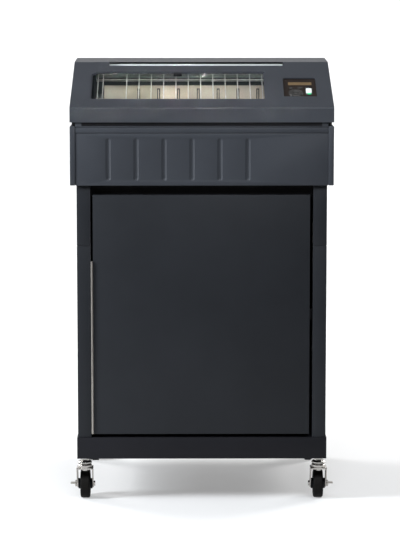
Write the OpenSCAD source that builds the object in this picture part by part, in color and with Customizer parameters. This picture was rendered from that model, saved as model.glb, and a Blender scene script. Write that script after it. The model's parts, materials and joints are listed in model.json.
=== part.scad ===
// Floor-standing dot matrix line printer on a wheeled cabinet.
// X runs to the viewer's right, the front faces -Y, Z is up, and the origin
// lies on the floor under the middle of the machine.

/* [Overall] */
// Width over the printer base and the hood band
body_w = 690; // [660:1:740]
// Depth over the end panels of the printer base
body_d = 620; // [610:1:680]

/* [Casters] */
// Tyre diameter
wheel_d = 76; // [70:1:82]
// Tyre width
wheel_w = 26; // [20:1:28]
// Height of the plinth's lower edge above the top of the tyres
caster_rise = 42; // [40:1:54]
// Distance from the swivel axis to the wheel axis
caster_trail = 32; // [24:1:36]
// Width over the fork legs
fork_w = 44; // [40:1:48]
// Thickness of a fork leg
fork_t = 3; // [2:0.5:4]
// Diameter of the ball race
race_d = 38; // [32:1:42]
// Diameter of the fixed stem
stem_d = 12; // [10:1:14]
// Diameter of the wheel axle
axle_d = 8; // [6:1:10]
// Swivel axis to the side of the plinth
caster_side_inset = 19; // [17:1:40]
// Front swivel axes to the front of the plinth
caster_front_inset = 32; // [25:1:60]
// Rear swivel axes to the back of the plinth
caster_back_inset = 60; // [58:1:90]
// Reach of a brake pedal beyond the fork
brake_w = 16; // [12:1:20]

/* [Cabinet] */
// Height of the plinth
plinth_h = 57; // [45:1:80]
// Sheet metal thickness
sheet = 2; // [1.5:0.5:3]
// Height of the lower side panels
lower_h = 511; // [440:1:560]
// Height of the upper side panels
upper_h = 161; // [140:1:200]
// Set-back of the cabinet sides behind the base sides
cab_inset = 16.5; // [12:0.5:24]
// Set-back of the cabinet front and back
cab_setback = 15; // [12:1:24]
// How far the plinth stands proud of the cabinet sides and front
plinth_proud = 2.5; // [1:0.5:4]
// Width of the front columns
post_w = 36; // [30:1:44]
// Depth of the front columns
post_d = 34; // [30:1:44]
// Width of the side panels' rear flanges
rear_flange = 28; // [20:1:40]
// Height of the shadow groove between lower and upper panels
seam_h = 1.8; // [1:0.2:3]
// Depth of that groove
seam_t = 0.8; // [0.4:0.2:1]
// Number of louvres in each row of the rear panel
louvre_rows = 6; // [3:1:10]
// Length of one louvre
louvre_l = 150; // [100:1:200]
// Height of one louvre
louvre_h = 6; // [4:1:10]
// Distance from louvre to louvre
louvre_pitch = 18; // [14:1:26]

/* [Door] */
// Gap between the left column and the door, filled by the hinge barrel
door_gap_left = 6; // [5.6:0.1:8]
// Gap between the door and the right column
door_gap_right = 8; // [6:0.5:12]
// Gap between the plinth and the door
door_gap_bottom = 9; // [5:0.5:14]
// Gap between the door and the printer base
door_gap_top = 26; // [20:1:34]
// Depth of the door pan
door_t = 18; // [14:1:24]
// Width of the flange that turns in behind the door's edge
door_flange = 22; // [16:1:30]
// Diameter of the hinge barrel
hinge_d = 5.4; // [5:0.1:5.4]
// Diameter of the hinge pin
hinge_pin_d = 3; // [2.5:0.1:3.2]
// Length of the hinge
hinge_l = 461; // [400:1:520]
// Number of hinge knuckles
hinge_n = 20; // [12:2:28]

/* [Printer base] */
// Height of the printer base
base_h = 155; // [140:1:170]
// Width of an end panel seen from the front
end_w = 14.5; // [12:0.5:18]
// Wall thickness of the moulded covers
wall = 4; // [3:0.5:4]
// Set-back of the front panel behind the end panels
front_inset = 2; // [0.5:0.5:3]
// Thickness of the front panel
front_t = 6; // [5:0.5:8]
// Height of the lip along the top of the front panel
lip_h = 17; // [12:1:22]
// How far the lip stands proud
lip_t = 1; // [0.5:0.5:1]
// Width of the two grooves above and below that band
groove_w = 2; // [1:0.5:3]
// Depth of those grooves
groove_t = 1.2; // [0.5:0.1:2]
// Number of flutes
flute_n = 6; // [4:1:7]
// Distance from flute to flute
flute_pitch = 73; // [60:1:80]
// Place of the first flute from the left side of the base
flute_left = 100; // [95:1:145]
// Width of a flute
flute_w = 13.6; // [10:0.2:16]
// Depth of a flute
flute_t = 2.6; // [2:0.2:3]
// Height of a flute
flute_l = 110; // [90:1:116]
// Lower end of the flutes above the lower edge of the base
flute_z = 13; // [8:1:20]
// Height of the inner upstand above the hood's lower edge
upstand_h = 6; // [3:1:10]
// Thickness of the metal floor of the base
pan_t = 3; // [2:0.5:4]
// Width of the paper throat through the floor
throat_w = 490; // [460:1:520]
// Depth of the paper throat
throat_d = 52; // [40:1:60]

/* [Hood] */
// Gap between the base and the hood
hood_gap = 10; // [8:1:14]
// Height of the upright band at the front
band_h = 39; // [30:1:50]
// Depth of the front slope
slope_run = 245; // [230:1:260]
// Rise of the front slope
slope_rise = 109; // [100:1:120]
// Depth of the top
top_run = 153; // [130:1:180]
// Rise of the top towards the back
top_rise = 6; // [3:1:10]
// Height of the upright band at the back
rear_band_h = 48; // [40:1:60]
// Set-back of the hood's rear wall
hood_back_inset = 4; // [2:1:6]
// Narrowing of each side up to the top
side_draft = 3.5; // [2:0.5:6]
// Rounding of the creases
crease_r = 5; // [3:1:8]
// Place of the hood hinges from the middle
hood_hinge_x = 250; // [200:1:290]
// Diameter of the hood hinge knuckles
hood_knuckle_d = 10; // [9:1:11]
// Diameter of the hood hinge pin
hood_pin_d = 6; // [5:1:6]

/* [Window] */
// Left end of the window from the left side of the hood
win_left = 55; // [45:1:75]
// Right end of the window from the right side of the hood
win_right = 180; // [170:1:205]
// Lower edge of the window above the crease, along the slope
win_s0 = 53; // [45:1:70]
// Upper edge of the window above the crease, along the slope
win_s1 = 205; // [180:1:212]
// Cut corner at the upper left
win_corner = 15; // [8:1:24]
// Width of the step round the window
win_step = 4; // [2:1:6]
// Depth of that step
win_step_t = 1.8; // [1:0.2:2]
// Overlap of the pane under the edge of the window
pane_lap = 10; // [8:1:14]
// Thickness of the pane
pane_t = 3; // [2:0.5:4]
// Left end of the paper exit slot from the left side of the hood
slot_left = 97; // [85:1:110]
// Right end of the paper exit slot from the right side of the hood
slot_right = 125; // [110:1:145]
// Width of the paper exit slot along the slope
slot_s = 23; // [16:1:28]
// Diameter of a guard wire
wire_d = 2.4; // [2:0.1:3]
// Distance from wire to wire
wire_pitch = 32.75; // [28:0.25:36]
// First wire of the even row from the left end of the window
wire_first = 91; // [84:1:98]

/* [Control panel] */
// Middle of the panel from the right side of the hood
panel_in = 85.5; // [80:0.5:95]
// Middle of the panel above the crease, along the slope
panel_s = 118; // [110:1:126]
// Width of the panel
panel_w = 87; // [84:1:92]
// Length of the panel along the slope
panel_l = 109; // [104:1:116]
// Depth of the panel face below the hood's skin
panel_recess = 3; // [1.5:0.5:3]
// Outer diameter of the navigation ring
nav_d = 39; // [36:1:40]
// Diameter of the enter key
enter_d = 15; // [12:1:18]
// Diameter of the stop key
stop_d = 12; // [10:1:13]
// Width of the online key
online_w = 15; // [12:1:17]
// Length of the online key
online_l = 26; // [20:1:28]
// Width of a small key
small_w = 10; // [8:1:12]
// Length of a small key
small_l = 6; // [4:0.5:7]
// Width of the display
display_w = 62; // [50:1:66]
// Length of the display along the slope
display_l = 16; // [12:1:18]
// Height of the keys above the panel face
key_rise = 1.6; // [1.4:0.1:2.2]
// Gap round each key
key_gap = 0.4; // [0.3:0.05:0.6]

/* [Mechanism] */
// Distance of the paper plane behind the front of the machine
paper_in = 234; // [226:1:242]
// Gap between a side frame and the outside of the base
frame_in = 61; // [57:1:65]
// Thickness of a side frame
frame_t = 4; // [3:0.5:5]
// Diameter of the shaft journals and of the tractor support rod
shaft_d = 12; // [10:1:14]
// Height of the tractor drive shaft above the floor of the base
drive_h = 150; // [140:1:156]
// Distance from the drive shaft up to the support rod
tractor_h = 34; // [30:1:38]
// Width of a tractor
tractor_w = 34; // [30:1:40]
// Radius of the tractor belt's outside
belt_r = 18; // [17:1:20]
// Distance from pin to pin
pin_pitch = 12.7; // [12:0.1:13.4]
// Diameter of a tractor pin
pin_d = 3.8; // [3:0.1:4]
// Gap between a tractor and the side frame beside it
tractor_in = 22; // [20:1:28]
// Thickness of a tractor gate
gate_t = 4; // [3:0.5:5]
// Diameter of the gate's hinge stubs
gate_pin_d = 3; // [2.5:0.1:3.4]
// Width of the hammer bank
shuttle_w = 464; // [430:1:480]
// Depth of the hammer bank
shuttle_d = 60; // [50:1:64]
// Height of the hammer bank
shuttle_h = 45; // [38:1:50]
// Gap between hammer bank, paper and platen
paper_gap = 1.5; // [1:0.1:2]
// Depth of the platen
platen_d = 16; // [12:1:20]
// Height of the beds that carry the hammer bank
bed_h = 40; // [30:1:50]
// Diameter of a ribbon spool
spool_d = 110; // [90:1:116]
// Distance of the spool axes from the side frames
spool_side = 69; // [59:1:84]
// Distance of the spool axes behind the front of the machine
spool_in = 95; // [85:1:100]
// Height of a ribbon spool
spool_h = 30; // [24:1:34]
// Diameter of the spindle under a spool
spindle_d = 10; // [8:1:12]
// Width of the feed motor
motor_w = 57; // [50:1:60]
// Distance of the feed motor behind the drive shaft
motor_run = 84; // [80:1:90]
// Drop from the drive shaft to the feed motor
motor_drop = 75; // [65:1:80]
// Diameter of the feed knob
knob_d = 40; // [32:1:44]
// Diameter of the cooling fan
fan_d = 84; // [70:1:88]
// Number of fan blades
fan_blades = 7; // [5:1:9]
// Number of slots in the paper guide
guide_slots = 7; // [5:1:8]
// Distance from slot to slot
guide_pitch = 53.6; // [48:0.2:56]

/* [Hidden] */
$fn = 48;

// Clearances: running fit on a radius, seat between neighbours, cutting overrun.
fit = 0.05;
seat = 0.3;
over = 1;

half_w = body_w / 2;
frame_half = half_w - frame_in;
tractor_x = frame_half - tractor_in;
spool_x = frame_half - spool_side;
panel_x = half_w - panel_in;
win_x0 = win_left - half_w;
win_x1 = half_w - win_right;
slot_x0 = slot_left - half_w;
slot_x1 = half_w - slot_right;
flute_x0 = flute_left - half_w;
front_y = -body_d / 2;
back_y = body_d / 2;

cab_half = half_w - cab_inset;
cab_front = front_y + cab_setback;
cab_back = back_y - cab_setback;
post_in = cab_half - post_w;
plinth_half = cab_half + plinth_proud;
plinth_front = cab_front - plinth_proud;
plinth_back = cab_back + plinth_proud;
caster_h = wheel_d + caster_rise;
plinth_z = caster_h + plinth_h;
seam_z = plinth_z + lower_h;
cab_z = seam_z + upper_h;

gusset_t = 4;
gusset_in = 46;
pad_reach = 11;
pad_lap = 5;
pad_l = 40;
pad_drop = 6;
caster_x = plinth_half - caster_side_inset;
caster_fy = plinth_front + caster_front_inset;
caster_ry = plinth_back - caster_back_inset;
nut_h = 11;
cup_h = 8;
race_h = 10;
race_rim = 2.5;
yoke_t = 4;
yoke_front = 16;
yoke_back = 24;
cup_z = caster_h - nut_h - cup_h;
race_z = cup_z - seat - race_h;
yoke_z = race_z - yoke_t;
stem_head = 4;
stem_head_d = stem_d + 6;
swivel_nut_d = race_d * 0.62;
axle_z = wheel_d / 2;
leg_r = 11;
hub_gap = 0.1;
hub_r = wheel_d / 2 - 12;
hub_w = fork_w - 2 * fork_t - 2 * seat;
hub_dish = hub_w - 8;
axle_nut_d = 14;
axle_nut_h = 4;
brake_hub_d = 17;
brake_hub_l = 5;
brake_arm_t = 3;

door_x0 = -post_in + door_gap_left;
door_x1 = post_in - door_gap_right;
door_z0 = plinth_z + door_gap_bottom;
door_z1 = cab_z - door_gap_top;
door_back = cab_front + door_t;
louvre_z = 90;
louvre_x = 40;
hinge_x = -post_in + door_gap_left / 2;
hinge_y = cab_front - hinge_pin_d / 2;
hinge_z = door_z0 + 1;
knuckle_l = hinge_l / hinge_n;
leaf_t = 0.8;
leaf_w = 15;
rail_d = 10;
rail_drop = 6;
catch_h = 30;
catch_d = 14;
catch_z = (door_z0 + door_z1) / 2;

base_z = cab_z;
base_top = base_z + base_h;
pan_z = base_z + pan_t;
end_in = half_w - end_w;
upstand_t = 2.4;
upstand_gap = 1.2;
upstand_z = base_z + base_h + hood_gap + upstand_h;
panel_front = front_y + front_inset;
rear_in = back_y - hood_back_inset - 3;
rear_t = 3;

hood_z = base_top + hood_gap;
crease_z = hood_z + band_h;
ridge_y = front_y + slope_run;
ridge_z = crease_z + slope_rise;
peak_y = ridge_y + top_run;
peak_z = ridge_z + top_rise;
hood_back = back_y - hood_back_inset;
rear_crease_z = hood_z + rear_band_h;
slope_a = atan2(slope_rise, slope_run);
slope_l = norm([slope_run, slope_rise]);
rear_run = hood_back - peak_y;
rear_rise = peak_z - rear_crease_z;
rear_a = atan2(rear_rise, rear_run);
rear_l = norm([rear_run, rear_rise]);
rear_flute_end = rear_l - 40;
draft_a = atan2(side_draft, slope_rise + top_rise);
hood_axis_y = hood_back - hood_knuckle_d / 2 - 1;
hood_axis_z = hood_z - 4;
hood_knuckle_l = 20;
hood_pin_half = 1.5 * hood_knuckle_l;
relief_d = hood_knuckle_d + 4 * seat;

wire_depth = -wall - pane_t - wire_d / 2 - 1.8;
tab_w = 8;
bar_s0 = win_s0 - pane_lap - 5;
bar_s1 = win_s1 + pane_lap + 4;
bar_d = 3;
pair_x = win_x0 + 14.5;
pair_pitch = 13.8;
first_wire = win_x0 + wire_first;
wire_n = floor((win_x1 - first_wire) / wire_pitch) + 1;

bezel_t = 4;
bezel_lap = 6;
key_body = 5;
nav_x = panel_x - 11;
nav_s = panel_s - 29;
online_x = panel_x + 23.5;
online_s = panel_s - 17;
stop_s = panel_s + 7;
small_s = panel_s - 2;
small_dx = 12;
display_s = panel_s + 25;
display_x = panel_x + 1;

paper_y = front_y + paper_in;
drive_y = paper_y + belt_r + 4;
drive_z = pan_z + drive_h;
support_z = drive_z + tractor_h;
motor_y = drive_y + motor_run;
motor_z = drive_z - motor_drop;
frame_z1 = ridge_z - 30;
frame_shoulder = 35;
gate_y = paper_y - 4;
gate_z0 = drive_z - 12;
gate_z1 = support_z + 10;
lug_t = 3.5;
bed_z = pan_z + bed_h;
bed_w = 50;
shuttle_z = bed_z + seat;
shuttle_y1 = paper_y - paper_gap;
shuttle_y0 = shuttle_y1 - shuttle_d;
frame_y0 = shuttle_y0 - 12.5;
frame_y1 = motor_y + 60;
frame_rear_h = 60;
frame_rear_run = 60;
frame_rear_drop = 30;
frame_hole_d = 36;
platen_y = paper_y + paper_gap;
platen_z = shuttle_z;
lever_y = platen_y + platen_d / 2;
lever_z = platen_z + shuttle_h + 12;
lever_pin_d = 8;
lever_l = 118;
lever_t = 8;
lever_hub_d = 22;
lever_grip_l = 24;
spool_y = front_y + spool_in;
spool_z = bed_z + 14;
shoulder_d = 22;
spindle_rise = 6;
pulley_d = 36;
pulley_w = 10;
knob_w = 20;
square_w = 10;
motor_l = 50;
motor_shaft_d = 6;
motor_pulley_d = 14;
guide_y = paper_y + 6;
guide_t = 2;
guide_z0 = support_z + 16;
guide_drop = 63;
guide_side = 22;
guide_foot = 10;
guide_z1 = ridge_z - guide_drop;
guide_half = frame_half - guide_side;
slot_w = 8;
tongue_w = 2.8;
tongue_gap = 3;
slot_lip_in = 6;
hinge_leaf_h = 28;
slot_edge_t = 1.2;
top_rod_d = 7;
top_rod_drop = 49.5;
top_rod_z = ridge_z - top_rod_drop;
bar_drop = 43;
bar_h = 8;
bar_z0 = ridge_z - bar_drop;
bar_z1 = bar_z0 + bar_h;
screw_n = 9;
screw_x0 = 30 - frame_half;
screw_x1 = frame_half - 10;
screw_d = 5;
fan_in = 145;
fan_rise = 78;
fan_x = fan_in - half_w;
fan_z = base_z + fan_rise;
fan_y = rear_in - 20;
fan_hub_d = fan_d * 0.4;
fan_axle_d = 8;
fan_rotor_l = 14;
inlet_in = 83;
port_in = 235;
port_rise = 33;
inlet_x = half_w - inlet_in;
port_x = half_w - port_in;
port_z = base_z + port_rise;
port_w = 120;
port_h = 40;
switch_in = 145;
switch_x = half_w - switch_in;
switch_w = 22;
switch_h = 30;
switch_tilt = 12;
switch_pin_d = 2;
switch_y = rear_in + rear_t / 2;
cage_x0 = -90;
cage_side = 30;
cage_gap = 14;
cage_back = 24;
cage_drop = 20;
cage_slot_pitch = 26;
cage_slot_end = 20;
cage_slot_side = 30;
inlet_w = 28;
inlet_h = 21;

// Finishes as the photograph shows them.
dark = [0.20, 0.21, 0.23];
darker = [0.15, 0.155, 0.165];
steel = [0.72, 0.73, 0.72];
black = [0.06, 0.06, 0.06];
beige = [0.72, 0.66, 0.55];
chrome = [0.80, 0.81, 0.82];
pale = [0.85, 0.88, 0.85];
panel_black = [0.10, 0.08, 0.07];
key_brown = [0.16, 0.14, 0.13];

CORNER_NAMES = ["front_left", "front_right", "rear_left", "rear_right"];

// Box between two opposite corners.
module block(lo, hi) {
    translate(lo) cube(hi - lo);
}

// Rods along the three axes, from their first end.
module rod_x(x0, x1, y, z, d) {
    translate([x0, y, z]) rotate([0, 90, 0]) cylinder(d = d, h = x1 - x0);
}

module rod_y(y0, y1, x, z, d) {
    translate([x, y0, z]) rotate([-90, 0, 0]) cylinder(d = d, h = y1 - y0);
}

module rod_z(z0, z1, x, y, d) {
    translate([x, y, z0]) cylinder(d = d, h = z1 - z0);
}

// A flat outline in Y and Z, drawn out along X.
module extrude_x(x0, x1) {
    translate([x0, 0, 0]) rotate([90, 0, 90]) linear_extrude(x1 - x0) children();
}

// The left copy of a piece that is drawn on the right.
module on_side(side) {
    if (side > 0) children();
    else mirror([1, 0, 0]) children();
}

// Axes on the front slope: X across, Y up along the slope, Z out of it.
module on_slope() {
    translate([0, front_y, crease_z]) rotate([slope_a, 0, 0]) children();
}

// Axes on the rear slope, from its upper edge down.
module on_rear_slope() {
    translate([0, peak_y, peak_z]) rotate([-rear_a, 0, 0]) children();
}

module round_rect(w, l, r) {
    offset(r = r) square([w - 2 * r, l - 2 * r], center = true);
}

// Cutter for one flute: a long round-nosed pin, sunk flute_t into the face z = 0.
module flute_cutter(l) {
    r = (flute_w * flute_w / 4 + flute_t * flute_t) / (2 * flute_t);
    nose = flute_w / 2;
    core = r - flute_t;
    steps = 6;
    end = l / 2 - nose;
    quarter = [for (i = [0:steps]) [core + flute_t * sin(90 * i / steps), end + nose * cos(90 * i / steps)]];
    mirrored = [for (i = [steps:-1:0]) [quarter[i][0], -quarter[i][1]]];
    translate([0, 0, core]) rotate([-90, 0, 0]) rotate_extrude()
        polygon(concat([[0, l / 2]], quarter, mirrored, [[0, -l / 2]]));
}

// Half of the ball race: a drum with chamfered rims.
module drum(z0, z1, x, y) {
    r = race_d / 2;
    inner = r - race_rim;
    translate([x, y, 0]) rotate_extrude() polygon([[0, z0], [inner, z0], [r, z0 + race_rim],
        [r, z1 - race_rim], [inner, z1], [0, z1]]);
}

module stem(x, y) {
    rod_z(yoke_z - seat, caster_h + gusset_t, x, y, stem_d);
    drum(cup_z, cup_z + cup_h, x, y);
    translate([x, y, cup_z + cup_h]) cylinder(d = swivel_nut_d, h = nut_h, $fn = 6);
    rod_z(yoke_z - seat - stem_head, yoke_z - seat, x, y, stem_head_d);
}

module plinth() {
    color(darker) {
        difference() {
            block([-plinth_half, plinth_front, caster_h], [plinth_half, plinth_back, plinth_z]);
            block([-plinth_half + sheet, plinth_front + sheet, caster_h - over],
                [plinth_half - sheet, plinth_back - sheet, plinth_z - sheet]);
        }
        for (side = [-1, 1]) {
            on_side(side) {
                block([plinth_half - gusset_in, plinth_front, caster_h],
                    [plinth_half, caster_fy + gusset_in, caster_h + gusset_t]);
                block([plinth_half - gusset_in, caster_ry - gusset_in, caster_h],
                    [plinth_half, plinth_back, caster_h + gusset_t]);
                for (y = [caster_fy, caster_ry]) {
                    x = plinth_half - gusset_in;
                    stem(caster_x, y);
                    block([x - pad_reach, y - pad_l / 2, caster_h - pad_drop],
                        [x + pad_lap, y + pad_l / 2, caster_h + gusset_t]);
                }
            }
        }
    }
}

// One folded side panel with its front column and rear flange, drawn on the right.
module side_wall(z0, z1) {
    block([cab_half - sheet, cab_front, z0], [cab_half, cab_back, z1]);
    block([post_in, cab_front, z0], [cab_half, cab_front + sheet, z1]);
    block([post_in, cab_front, z0], [post_in + sheet, cab_front + post_d, z1]);
    block([cab_half - rear_flange, cab_back - sheet, z0], [cab_half, cab_back, z1]);
}

module lower_panel(side) {
    color(dark) on_side(side) side_wall(plinth_z, seam_z);
}

module upper_panel(side) {
    color(dark) on_side(side) difference() {
        side_wall(seam_z, cab_z);
        block([cab_half - seam_t, cab_front - over, seam_z - over],
            [cab_half + over, cab_back + over, seam_z + seam_h]);
        block([post_in - over, cab_front - over, seam_z - over],
            [cab_half + over, cab_front + seam_t, seam_z + seam_h]);
    }
}

module rear_panel() {
    half = cab_half - sheet - seat;
    color(dark) difference() {
        block([-half, cab_back - 2 * sheet, plinth_z], [half, cab_back - sheet, cab_z]);
        for (side = [-1, 1], level = [0, 1], row = [0:louvre_rows - 1]) {
            first = plinth_z + louvre_z + level * (lower_h - louvre_z - louvre_rows * louvre_pitch);
            z = first + row * louvre_pitch;
            x = side * (louvre_l / 2 + louvre_x);
            block([x - louvre_l / 2, cab_back - 2 * sheet - over, z],
                [x + louvre_l / 2, cab_back - sheet + over, z + louvre_h]);
        }
    }
}

module front_cross_rail() {
    color(black) block([-post_in, cab_front + post_d - rail_d, door_z1 - rail_drop],
        [post_in, cab_front + post_d, cab_z]);
}

// Knuckles of the piano hinge: every second one, from the given first one.
module knuckles(first) {
    for (i = [first:2:hinge_n - 1]) {
        rod_z(hinge_z + i * knuckle_l + seat / 2, hinge_z + (i + 1) * knuckle_l - seat / 2,
            hinge_x, hinge_y, hinge_d);
    }
}

// Leaf of the hinge from the barrel back along a side of the gap.
module leaf(x, first) {
    y0 = hinge_y + hinge_d / 2 + 0.2;
    block([x, y0, hinge_z], [x + leaf_t, cab_front + leaf_w, hinge_z + hinge_l]);
    for (i = [first:2:hinge_n - 1]) {
        block([min(x, hinge_x), hinge_y + hinge_pin_d / 2 + 0.2, hinge_z + i * knuckle_l + seat / 2],
            [max(x + leaf_t, hinge_x), y0 + 0.8, hinge_z + (i + 1) * knuckle_l - seat / 2]);
    }
}

module hinge_fixed_leaf() {
    color(steel) {
        leaf(-post_in, 0);
        knuckles(0);
        rod_z(hinge_z + seat, hinge_z + hinge_l - seat, hinge_x, hinge_y, hinge_pin_d);
    }
}

module hinge_door_leaf() {
    color(steel) difference() {
        union() {
            leaf(door_x0 - leaf_t, 1);
            knuckles(1);
        }
        rod_z(hinge_z - over, hinge_z + hinge_l + over, hinge_x, hinge_y, hinge_pin_d + 2 * fit);
    }
}

module door_catch() {
    color(black) block([post_in - door_gap_right - door_flange + 4, door_back + seat, catch_z - catch_h / 2],
        [post_in, door_back + seat + catch_d, catch_z + catch_h / 2]);
}

module door_panel() {
    color(dark) difference() {
        block([door_x0, cab_front, door_z0], [door_x1, door_back, door_z1]);
        block([door_x0 + sheet, cab_front + sheet, door_z0 + sheet],
            [door_x1 - sheet, door_back - sheet, door_z1 - sheet]);
        block([door_x0 + door_flange, door_back - sheet - over, door_z0 + door_flange],
            [door_x1 - door_flange, door_back + over, door_z1 - door_flange]);
    }
}

module base_pan() {
    color(steel) {
        difference() {
            block([-end_in + seat, panel_front + front_t + seat, base_z],
                [end_in - seat, rear_in - seat, pan_z]);
            block([-throat_w / 2, paper_y - throat_d / 2, base_z - over],
                [throat_w / 2, paper_y + throat_d / 2, pan_z + over]);
        }
        for (side = [-1, 1]) {
            on_side(side) {
                block([shuttle_w / 4, shuttle_y0 - 8, pan_z - over],
                    [shuttle_w / 4 + bed_w, paper_y - throat_d / 2, bed_z]);
                rod_z(base_z, spool_z - seat, spool_x, spool_y, shoulder_d);
                rod_z(base_z, spool_z + spool_h + spindle_rise, spool_x, spool_y, spindle_d);
            }
        }
    }
}

module flute_row(l) {
    for (i = [0:flute_n - 1]) translate([flute_x0 + i * flute_pitch, 0, 0]) flute_cutter(l);
}

module base_front_panel() {
    lip_z = base_top - lip_h;
    x = end_in - seat;
    color(dark) difference() {
        union() {
            block([-x, panel_front, base_z], [x, panel_front + front_t, base_top]);
            block([-x, panel_front - lip_t, lip_z], [x, panel_front + front_t, base_top]);
            block([-x, front_y + wall + upstand_gap, lip_z], [x, panel_front + front_t, upstand_z]);
        }
        for (z = [lip_z - groove_w, base_top - 1.75 * groove_w]) {
            block([-x - over, panel_front - lip_t - over, z],
                [x + over, panel_front + groove_t, z + groove_w]);
        }
        translate([0, panel_front, base_z + flute_z + flute_l / 2]) rotate([90, 0, 0]) flute_row(flute_l);
    }
}

module end_panel(side) {
    rail_x = half_w - wall - upstand_gap;
    color(dark) on_side(side) {
        difference() {
            block([end_in, front_y, base_z], [half_w, back_y, base_top]);
            block([end_in - over, front_y + wall, base_z + wall],
                [half_w - wall, back_y - wall, base_top - wall]);
        }
        block([rail_x - upstand_t, front_y + 2 * wall, base_top - wall],
            [rail_x, back_y - 5 * wall, upstand_z]);
    }
}

module base_rear_panel() {
    color(dark) {
        difference() {
            block([-end_in + seat, rear_in, base_z], [end_in - seat, rear_in + rear_t, base_top]);
            block([inlet_x - inlet_w / 2, rear_in - over, port_z - inlet_h / 2],
                [inlet_x + inlet_w / 2, rear_in + rear_t + over, port_z + inlet_h / 2]);
            block([switch_x - switch_w / 2, rear_in - over, port_z - switch_h / 2],
                [switch_x + switch_w / 2, rear_in + rear_t + over, port_z + switch_h / 2]);
            block([port_x - port_w / 2 + 6, rear_in - over, port_z - port_h / 2 + 6],
                [port_x + port_w / 2 - 6, rear_in + rear_t + over, port_z + port_h / 2 - 6]);
            intersection() {
                rod_y(rear_in - over, rear_in + rear_t + over, fan_x, fan_z, fan_d);
                for (x = [fan_x - fan_d / 2 + 4:9:fan_x + fan_d / 2 - 4]) {
                    block([x, rear_in - 2 * over, fan_z - fan_d],
                        [x + 5, rear_in + rear_t + 2 * over, fan_z + fan_d]);
                }
            }
        }
        rod_x(switch_x - switch_w / 2 - over, switch_x + switch_w / 2 + over, switch_y, port_z, switch_pin_d);
        rod_y(rear_in - 3, rear_in + rear_t, fan_x, fan_z, fan_hub_d);
        rod_y(fan_y - 2, rear_in + rear_t, fan_x, fan_z, fan_axle_d);
    }
}

module power_inlet() {
    color(black) difference() {
        union() {
            block([inlet_x - 24, rear_in + rear_t, port_z - 14],
                [inlet_x + 24, rear_in + rear_t + 2.5, port_z + 14]);
            block([inlet_x - inlet_w / 2 + seat, rear_in - 14, port_z - inlet_h / 2 + seat],
                [inlet_x + inlet_w / 2 - seat, rear_in + rear_t + 1, port_z + inlet_h / 2 - seat]);
        }
        block([inlet_x - 12, rear_in - 12, port_z - 8], [inlet_x + 12, rear_in + rear_t + 4, port_z + 8]);
    }
    color(steel) for (x = [-7, 0, 7]) {
        z = port_z + (x == 0 ? 2 : -2);
        block([inlet_x + x - 1, rear_in - 12 - over, z - 2], [inlet_x + x + 1, rear_in, z + 2]);
    }
}

module power_switch() {
    color(black) difference() {
        block([switch_x - switch_w / 2 + seat, rear_in - 8, port_z - switch_h / 2 + 2.5],
            [switch_x + switch_w / 2 - seat, rear_in + rear_t + 1.5, port_z + switch_h / 2 - 2.5]);
        translate([switch_x, rear_in + rear_t + 1.5, port_z]) rotate([switch_tilt, 0, 0])
            block([-switch_w, 0, 0], [switch_w, 10, switch_h]);
        rod_x(switch_x - switch_w, switch_x + switch_w, switch_y, port_z, switch_pin_d + 2 * fit);
    }
}

module interface_panel() {
    color(steel) difference() {
        union() {
            block([port_x - port_w / 2, rear_in + rear_t, port_z - port_h / 2],
                [port_x + port_w / 2, rear_in + rear_t + 1.5, port_z + port_h / 2]);
            for (x = [-38, 0, 36]) {
                block([port_x + x - 11, rear_in - 14, port_z - 9],
                    [port_x + x + 11, rear_in + rear_t + 1, port_z + 9]);
            }
        }
        for (port = [[-38, 16, 13], [0, 12, 11], [36, 18, 10]]) {
            block([port_x + port[0] - port[1] / 2, rear_in - 11, port_z - port[2] / 2],
                [port_x + port[0] + port[1] / 2, rear_in + rear_t + 4, port_z + port[2] / 2]);
        }
    }
}

module card_cage() {
    lo = [cage_x0, frame_y1 + cage_gap, pan_z];
    hi = [end_in - cage_side, rear_in - cage_back, base_top - cage_drop];
    skin = [sheet, sheet, sheet];
    color(steel) difference() {
        block(lo, hi);
        block(lo + skin, hi - skin);
        for (x = [lo[0] + cage_slot_side:cage_slot_pitch:hi[0] - 2 * cage_slot_side]) {
            block([x, lo[1] + cage_slot_end, hi[2] - sheet - over],
                [x + slot_w, hi[1] - cage_slot_end, hi[2] + over]);
        }
    }
}

// Side frame outline in Y and Z, stepping down under the hood's slope.
module frame_outline() {
    difference() {
        polygon([[frame_y0, pan_z], [frame_y1, pan_z], [frame_y1, pan_z + frame_rear_h],
            [frame_y1 - frame_rear_run, frame_z1 - frame_rear_drop],
            [paper_y + platen_d + 24, frame_z1], [paper_y - platen_d, frame_z1],
            [frame_y0, frame_z1 - frame_shoulder]]);
        translate([motor_y - 16, drive_z - 10]) circle(d = frame_hole_d);
    }
}

// The right frame has a hole for the motor shaft, the left one for the lever's pin.
module side_frame(side, pin_y, pin_z, pin_hole) {
    color(darker) on_side(side) difference() {
        extrude_x(frame_half, frame_half + frame_t) frame_outline();
        rod_x(frame_half - over, frame_half + frame_t + over, drive_y, drive_z, shaft_d + 2 * fit);
        rod_x(frame_half - over, frame_half + frame_t + over, pin_y, pin_z, pin_hole);
    }
}

module paper_guide() {
    color(beige) difference() {
        union() {
            block([-guide_half, guide_y, guide_z0], [guide_half, guide_y + guide_t, guide_z1]);
            block([-frame_half, guide_y, guide_z0], [frame_half, guide_y + guide_t, guide_z0 + 12]);
        }
        for (i = [0:guide_slots - 1]) {
            x = (i - (guide_slots - 1) / 2) * guide_pitch - slot_w;
            difference() {
                block([x - slot_w / 2, guide_y - over, guide_z0 + guide_foot],
                    [x + slot_w / 2, guide_y + guide_t + over, guide_z1 - slot_w]);
                block([x - tongue_w / 2, guide_y - 2 * over, guide_z0],
                    [x + tongue_w / 2, guide_y + guide_t + 2 * over, guide_z1 - slot_w - tongue_gap]);
            }
        }
    }
}

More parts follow.
